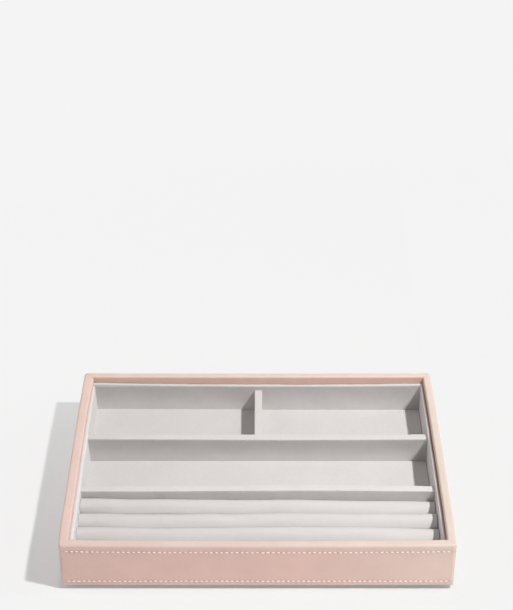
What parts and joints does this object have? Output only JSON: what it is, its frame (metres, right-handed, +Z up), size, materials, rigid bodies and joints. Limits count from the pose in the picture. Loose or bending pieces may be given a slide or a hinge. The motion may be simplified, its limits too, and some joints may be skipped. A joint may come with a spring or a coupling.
{
  "type": "jewellery tray",
  "caption": "Open stacking jewellery tray: a leatherette case lined in velvet, with split rear compartments, a long bracelet compartment and a bed of padded ring rolls.",
  "frame": {"origin": "centre of the footprint, on the plane the tray rests on", "axes": "+X to the user's right along the rolls, +Y to the back, +Z up out of the tray"},
  "size_m": [0.2524, 0.18, 0.0367],
  "materials": {
    "leatherette": "blush, fine grain, satin",
    "velvet": "pale grey short-pile velvet",
    "felt": "grey felt",
    "board": "fibreboard, unfinished",
    "card": "grey card, unfinished",
    "foam": "soft foam"
  },
  "bodies": {
    "root": {"front_wall_board": "board", "front_leatherette": "leatherette", "front_liner_card": "card", "front_liner_velvet": "velvet", "right_wall_board": "board", "right_leatherette": "leatherette", "right_liner_card": "card", "right_liner_velvet": "velvet", "back_wall_board": "board", "back_leatherette": "leatherette", "back_liner_card": "card", "back_liner_velvet": "velvet", "left_wall_board": "board", "left_leatherette": "leatherette", "left_liner_card": "card", "left_liner_velvet": "velvet", "rear_divider_card": "card", "rear_divider_velvet": "velvet", "front_divider_card": "card", "front_divider_velvet": "velvet", "short_divider_card": "card", "short_divider_velvet": "velvet", "rear_left_pad_card": "card", "rear_left_pad_velvet": "velvet", "rear_right_pad_card": "card", "rear_right_pad_velvet": "velvet", "bracelet_pad_card": "card", "bracelet_pad_velvet": "velvet", "ring_roll_1_foam": "foam", "ring_roll_1_velvet": "velvet", "ring_roll_2_foam": "foam", "ring_roll_2_velvet": "velvet", "ring_roll_3_foam": "foam", "ring_roll_3_velvet": "velvet", "ring_roll_4_foam": "foam", "ring_roll_4_velvet": "velvet", "base_board": "board", "plinth_board": "board", "plinth_felt": "felt", "ring_bed_card": "card"}
  },
  "joints": []
}
